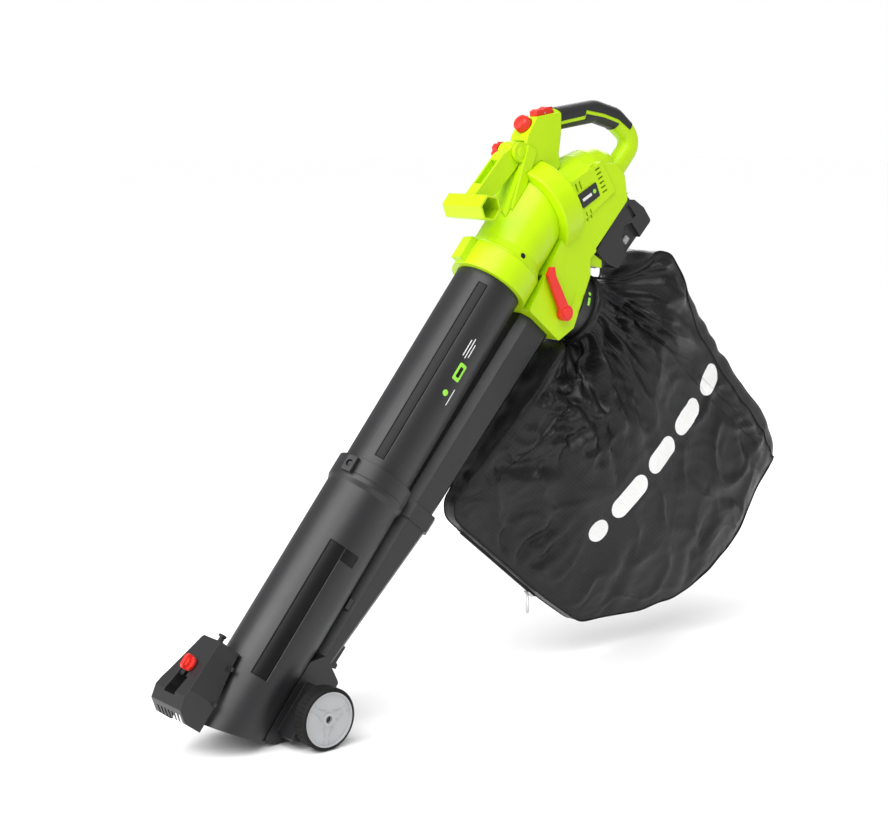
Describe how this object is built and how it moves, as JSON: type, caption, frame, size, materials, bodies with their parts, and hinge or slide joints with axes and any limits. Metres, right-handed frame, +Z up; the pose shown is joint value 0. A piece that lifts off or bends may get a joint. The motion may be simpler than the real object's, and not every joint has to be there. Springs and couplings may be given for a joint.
{
  "type": "leaf blower",
  "caption": "Cordless leaf blower and vacuum: wheeled suction tube, blower tube, motor head with rear and front handles, battery pack and cloth collecting bag.",
  "frame": {"origin": "on the floor under the middle of the bounding box, the tool standing on its wheels as it is held", "axes": "+X towards the bag, so -X is the way the nozzle points; +Y to the tool's right-hand side, across its middle plane; +Z up"},
  "size_m": [1.3147, 0.2292, 0.9369],
  "materials": {
    "lime_plastic": "satin moulded plastic",
    "black_plastic": "fine-grained moulded plastic",
    "pack_plastic": "fine-grained moulded plastic",
    "red_plastic": "satin moulded plastic",
    "wheel_plastic": "light grey moulded plastic",
    "latch_plastic": "light grey moulded plastic",
    "tyre_rubber": "ribbed",
    "grip_rubber": "soft overmould",
    "steel": "zinc plated",
    "inner_metal": "plain",
    "board": "lacquered",
    "brass": "plain",
    "plate": "plain plate",
    "bag_fabric": "woven polyester"
  },
  "bodies": {
    "frame": {"lower_suction_tube": "black_plastic", "upper_suction_tube": "black_plastic", "tube_screws": "steel", "upper_blower_tube": "black_plastic", "lower_blower_tube": "black_plastic", "wheel_bracket": "black_plastic", "wheel_stub_left": "steel", "wheel_stub_right": "steel", "wheel_clip_left": "steel", "wheel_clip_right": "steel", "guard_bolt": "steel", "housing_left": "lime_plastic", "housing_right": "lime_plastic", "inlet_collar": "lime_plastic", "motor_can": "inner_metal", "motor_bearings": "inner_metal", "motor_plate": "black_plastic", "nameplates": "plate", "controller_board": "board", "battery_cradle": "black_plastic", "battery_terminals": "brass", "handle_left": "lime_plastic", "handle_right": "lime_plastic", "grip_pad_upper": "grip_rubber", "grip_pad_lower": "grip_rubber", "rocker_pin": "steel", "microswitch": "black_plastic", "potentiometer": "black_plastic", "clamp_bolt": "steel"},
    "wheel_left": {"wheel_disc_left": "wheel_plastic", "tyre_left": "tyre_rubber"},
    "wheel_right": {"wheel_disc_right": "wheel_plastic", "tyre_right": "tyre_rubber"},
    "guard": {"front_guard": "black_plastic"},
    "guard_knob": {"guard_knob": "red_plastic"},
    "rotor": {"impeller": "black_plastic", "impeller_nut": "steel", "motor_shaft": "inner_metal"},
    "pack": {"battery_pack": "pack_plastic", "battery_cells": "inner_metal"},
    "latch_left": {"latch_button_left": "latch_plastic"},
    "latch_right": {"latch_button_right": "latch_plastic"},
    "rocker": {"rocker_switch": "red_plastic"},
    "dial": {"speed_dial": "red_plastic"},
    "front_handle": {"aux_handle": "lime_plastic"},
    "clamp_knob": {"clamp_knob": "red_plastic"},
    "mode": {"mode_lever": "red_plastic", "mode_shaft": "steel", "mode_flap": "black_plastic"},
    "bag": {"bag_collar": "black_plastic", "bag": "bag_fabric", "zipper_track": "bag_fabric"},
    "zip": {"zipper_slider": "steel"},
    "zip_pull": {"zipper_pull": "steel"}
  },
  "joints": [
    {"name": "wheel_left_spin", "type": "hinge", "parent": "frame", "child": "wheel_left", "pos_m": [-0.45254, -0.1, 0.0468], "axis": [0, 1, 0], "continuous": true},
    {"name": "wheel_right_spin", "type": "hinge", "parent": "frame", "child": "wheel_right", "pos_m": [-0.45254, 0.1, 0.0468], "axis": [0, 1, 0], "continuous": true},
    {"name": "guard_slide", "type": "slide", "parent": "frame", "child": "guard", "axis": [0.6361, 0, 0.7716], "range_m": [0, 0.036]},
    {"name": "guard_knob_turn", "type": "hinge", "parent": "frame", "child": "guard_knob", "pos_m": [-0.61537, 0, 0.13697], "axis": [-0.7716, 0, 0.6361], "range_deg": [-90, 90]},
    {"name": "rotor_spin", "type": "hinge", "parent": "frame", "child": "rotor", "pos_m": [0.05892, 0, 0.76629], "axis": [0.891, 0, 0.454], "continuous": true},
    {"name": "pack_slide", "type": "slide", "parent": "frame", "child": "pack", "axis": [0.6361, 0, 0.7716], "range_m": [0, 0.118]},
    {"name": "latch_left_press", "type": "slide", "parent": "pack", "child": "latch_left", "axis": [0, 1, 0], "range_m": [0, 0.0032], "stiffness_N_per_m": 900},
    {"name": "latch_right_press", "type": "slide", "parent": "pack", "child": "latch_right", "axis": [0, -1, 0], "range_m": [0, 0.0032], "stiffness_N_per_m": 900},
    {"name": "rocker_tilt", "type": "hinge", "parent": "frame", "child": "rocker", "pos_m": [0.05992, 0, 0.91605], "axis": [0, 1, 0], "range_deg": [-5, 5]},
    {"name": "dial_turn", "type": "hinge", "parent": "frame", "child": "dial", "pos_m": [0.02256, 0, 0.89669], "axis": [-0.7716, 0, 0.6361], "range_deg": [-135, 135]},
    {"name": "front_handle_tilt", "type": "hinge", "parent": "frame", "child": "front_handle", "pos_m": [0.00102, 0, 0.85484], "axis": [0, 1, 0], "range_deg": [-6, 40]},
    {"name": "clamp_knob_turn", "type": "hinge", "parent": "frame", "child": "clamp_knob", "pos_m": [0.00102, 0.028, 0.85484], "axis": [0, 1, 0], "range_deg": [-180, 180]},
    {"name": "mode_turn", "type": "hinge", "parent": "frame", "child": "mode", "pos_m": [0.06256, 0, 0.59935], "axis": [0, 1, 0], "range_deg": [0, 66]},
    {"name": "bag_pull", "type": "slide", "parent": "frame", "child": "bag", "axis": [0.9171, 0, -0.3987], "range_m": [0, 0.045]},
    {"name": "zip_slide", "type": "slide", "parent": "bag", "child": "zip", "axis": [-0.7716, 0, 0.6361], "range_m": [0, 0.19]},
    {"name": "zip_pull_swing", "type": "hinge", "parent": "zip", "child": "zip_pull", "pos_m": [0.03833, 0, 0.12504], "axis": [0, 1, 0], "range_deg": [-30, 60]}
  ]
}
